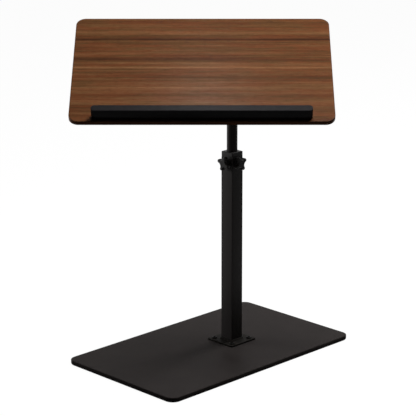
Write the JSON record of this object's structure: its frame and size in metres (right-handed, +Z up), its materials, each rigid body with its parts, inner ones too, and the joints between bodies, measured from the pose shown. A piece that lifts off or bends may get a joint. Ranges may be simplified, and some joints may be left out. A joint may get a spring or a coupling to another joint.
{
  "type": "side table",
  "caption": "Pedestal side table: flat steel base, off-centre square post, round mast that slides and swivels under two hand knobs, and a tilting walnut board with a book stop.",
  "frame": {"origin": "on the floor, under the middle of the base plate", "axes": "+X along the base towards the post, -Y towards the user when the board is swivelled home, +Z up"},
  "size_m": [0.5257, 0.5258, 0.6462],
  "materials": {
    "foam_mat": "matt black floor mat",
    "base_coat": "fine textured black powder coat",
    "black_steel": "satin black powder coat",
    "black_bolt": "blackened steel",
    "black_plastic": "moulded black nylon",
    "stop_black": "smooth black plastic",
    "nylon": "natural nylon",
    "zinc_steel": "zinc plated",
    "brass": "turned brass",
    "walnut_board": "satin walnut laminate, grain along its length",
    "walnut_edge": "dark walnut edge band"
  },
  "bodies": {
    "base": {"base_mat": "foam_mat", "base_plate": "base_coat", "foot_flange": "black_steel", "foot_bolt_1": "black_bolt", "foot_bolt_2": "black_bolt", "foot_bolt_3": "black_bolt", "foot_bolt_4": "black_bolt", "post_tube": "black_steel", "collar_bush": "black_plastic", "clamp_insert_side": "zinc_steel", "clamp_insert_front": "zinc_steel"},
    "side_clamp_pad": {"pressure_pad_side": "nylon"},
    "side_clamp_knob": {"clamp_knob_side": "black_plastic", "clamp_screw_side": "zinc_steel"},
    "front_clamp_pad": {"pressure_pad_front": "nylon"},
    "front_clamp_knob": {"clamp_knob_front": "black_plastic", "clamp_screw_front": "zinc_steel"},
    "carriage": {"square_glide": "nylon"},
    "mast": {"mast_tube": "black_steel", "mast_end_plug": "black_plastic", "glide_clip": "zinc_steel", "tilt_head": "black_steel", "pivot_bolt": "zinc_steel", "pivot_nut": "zinc_steel", "pivot_spacer": "zinc_steel", "pivot_slip_washer_left": "nylon", "pivot_slip_washer_right": "nylon", "pivot_washer_left": "zinc_steel", "pivot_washer_right": "zinc_steel", "clamp_bolt": "zinc_steel", "clamp_spacer": "zinc_steel", "clamp_slip_washer_left": "nylon", "clamp_slip_washer_right": "nylon", "clamp_washer_left": "zinc_steel"},
    "tilt_clamp_washer": {"tilt_thrust_washer": "zinc_steel"},
    "tilt_clamp_knob": {"tilt_knob": "black_plastic", "tilt_knob_insert": "brass"},
    "top": {"bracket_plate": "black_steel", "bracket_ear_left": "black_steel", "bracket_ear_right": "black_steel", "bracket_screw_1": "zinc_steel", "bracket_screw_2": "zinc_steel", "bracket_screw_3": "zinc_steel", "bracket_screw_4": "zinc_steel", "table_board": "walnut_board", "edge_band": "walnut_edge", "book_stop": "stop_black", "stop_screw_1": "zinc_steel", "stop_screw_2": "zinc_steel", "stop_screw_3": "zinc_steel"}
  },
  "joints": [
    {"name": "height_slide", "type": "slide", "parent": "base", "child": "carriage", "axis": [0, 0, 1], "range_m": [-0.045, 0.215]},
    {"name": "swivel", "type": "hinge", "parent": "carriage", "child": "mast", "pos_m": [0.058, 0, 0.4], "axis": [0, 0, 1], "continuous": true},
    {"name": "tilt", "type": "hinge", "parent": "mast", "child": "top", "pos_m": [0.058, 0, 0.527], "axis": [0.7071, -0.7071, 0], "range_deg": [-30, 30]},
    {"name": "side_clamp_slide", "type": "slide", "parent": "base", "child": "side_clamp_pad", "axis": [-1, 0, 0], "range_m": [0, 0.0015]},
    {"name": "side_clamp_turn", "type": "hinge", "parent": "side_clamp_pad", "child": "side_clamp_knob", "pos_m": [0.043, 0, 0.38], "axis": [-1, 0, 0], "range_deg": [0, 540]},
    {"name": "front_clamp_slide", "type": "slide", "parent": "base", "child": "front_clamp_pad", "axis": [0, -1, 0], "range_m": [0, 0.0015]},
    {"name": "front_clamp_turn", "type": "hinge", "parent": "front_clamp_pad", "child": "front_clamp_knob", "pos_m": [0.058, -0.015, 0.38], "axis": [0, -1, 0], "range_deg": [0, 540]},
    {"name": "tilt_clamp_slide", "type": "slide", "parent": "mast", "child": "tilt_clamp_washer", "axis": [0.7071, -0.7071, 0], "range_m": [0, 0.00187]},
    {"name": "tilt_clamp_turn", "type": "hinge", "parent": "tilt_clamp_washer", "child": "tilt_clamp_knob", "pos_m": [0.058, 0, 0.489], "axis": [0.7071, -0.7071, 0], "range_deg": [0, 540]}
  ],
  "couplings": [
    {"joint": "side_clamp_slide", "follows": "side_clamp_turn", "m_per_rad": 0.00015915},
    {"joint": "front_clamp_slide", "follows": "front_clamp_turn", "m_per_rad": 0.00015915},
    {"joint": "tilt_clamp_slide", "follows": "tilt_clamp_turn", "m_per_rad": 0.00019894}
  ]
}
